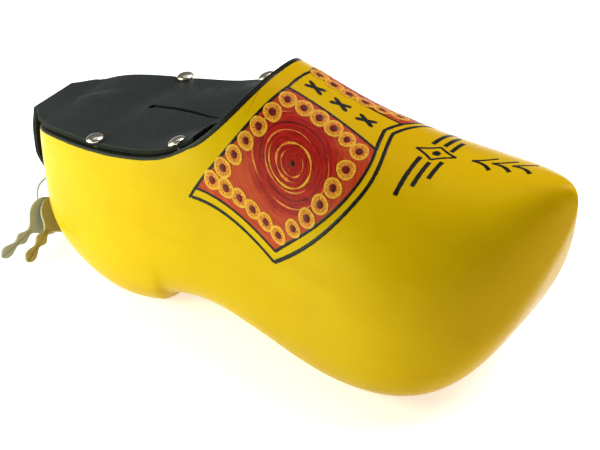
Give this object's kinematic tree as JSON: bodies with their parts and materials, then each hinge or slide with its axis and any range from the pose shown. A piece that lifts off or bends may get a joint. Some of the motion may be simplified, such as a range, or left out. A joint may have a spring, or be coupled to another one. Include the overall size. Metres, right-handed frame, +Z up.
{
  "type": "clog money box",
  "caption": "Hollow wooden clog used as a money box, its mouth covered by tacked leathercloth with a coin slit, hinged lid flap, heel strap, padlock, wire ring and keys.",
  "frame": {"origin": "on the flat underside of the heel, on the centre plane, 30 mm forward of the back of the heel", "axes": "+X towards the toe tip, +Y towards the shoe's left side, +Z up"},
  "size_m": [0.2103, 0.073, 0.0901],
  "materials": {
    "lacquered_wood": "glossy yellow lacquer with painted red panels, rings, crosses and chevrons",
    "leathercloth": "semi-gloss black leathercloth, fine grain",
    "nickel": "nickel plated, satin",
    "steel_wire": "bright wire",
    "spring_steel": "satin",
    "brass": "satin",
    "grey_steel": "nickel plated, polished"
  },
  "bodies": {
    "clog": {"clog_body": "lacquered_wood", "cover_panel": "leathercloth", "tack_1": "nickel", "tack_2": "nickel", "tack_3": "nickel", "tack_4": "nickel", "staple": "steel_wire"},
    "lid": {"lid_flap": "leathercloth"},
    "strap": {"heel_strap": "leathercloth"},
    "shackle": {"shackle": "steel_wire"},
    "case": {"padlock_case": "brass", "shackle_spring": "spring_steel"},
    "plug": {"key_plug": "brass"},
    "latch": {"latch_bolt": "brass"},
    "ring": {"key_ring": "steel_wire"},
    "key_1": {"key_1": "grey_steel"},
    "key_2": {"key_2": "brass"}
  },
  "joints": [
    {"name": "lid_fold", "type": "hinge", "parent": "clog", "child": "lid", "pos_m": [0.003, 0, 0.05887], "axis": [0, 1, 0], "range_deg": [0, 88]},
    {"name": "strap_fold", "type": "hinge", "parent": "lid", "child": "strap", "pos_m": [-0.0309, 0, 0.05411], "axis": [0, 1, 0], "range_deg": [0, 110]},
    {"name": "lock_swing", "type": "hinge", "parent": "strap", "child": "shackle", "pos_m": [-0.0336, 0.0015, 0.0253], "axis": [0, 1, 0], "range_deg": [0, 10]},
    {"name": "case_drop", "type": "slide", "parent": "shackle", "child": "case", "axis": [0, 0, -1], "range_m": [0, 0.0036], "deforming": ["shackle_spring"]},
    {"name": "plug_turn", "type": "hinge", "parent": "case", "child": "plug", "pos_m": [-0.0336, 0.0015, 0.005], "axis": [0, 0, 1], "range_deg": [0, 90]},
    {"name": "latch_slide", "type": "slide", "parent": "case", "child": "latch", "axis": [0.7431, -0.6691, 0], "range_m": [0, 0.0009]},
    {"name": "ring_swing", "type": "hinge", "parent": "shackle", "child": "ring", "pos_m": [-0.0304, -0.00138, 0.0165], "axis": [0, 0, 1], "range_deg": [-10, 8]},
    {"name": "key_1_swing", "type": "hinge", "parent": "ring", "child": "key_1", "pos_m": [-0.03039, -0.00894, 0.01072], "axis": [0.8746, 0.4652, 0.137], "range_deg": [-20, 4]},
    {"name": "key_2_swing", "type": "hinge", "parent": "ring", "child": "key_2", "pos_m": [-0.02771, -0.00656, 0.01187], "axis": [0.4942, 0.7457, 0.4468], "range_deg": [-2, 12]}
  ],
  "couplings": [
    {"joint": "strap_fold", "follows": "lid_fold", "ratio": 1.25},
    {"joint": "plug_turn", "follows": "latch_slide", "rad_per_m": 1745.3}
  ]
}
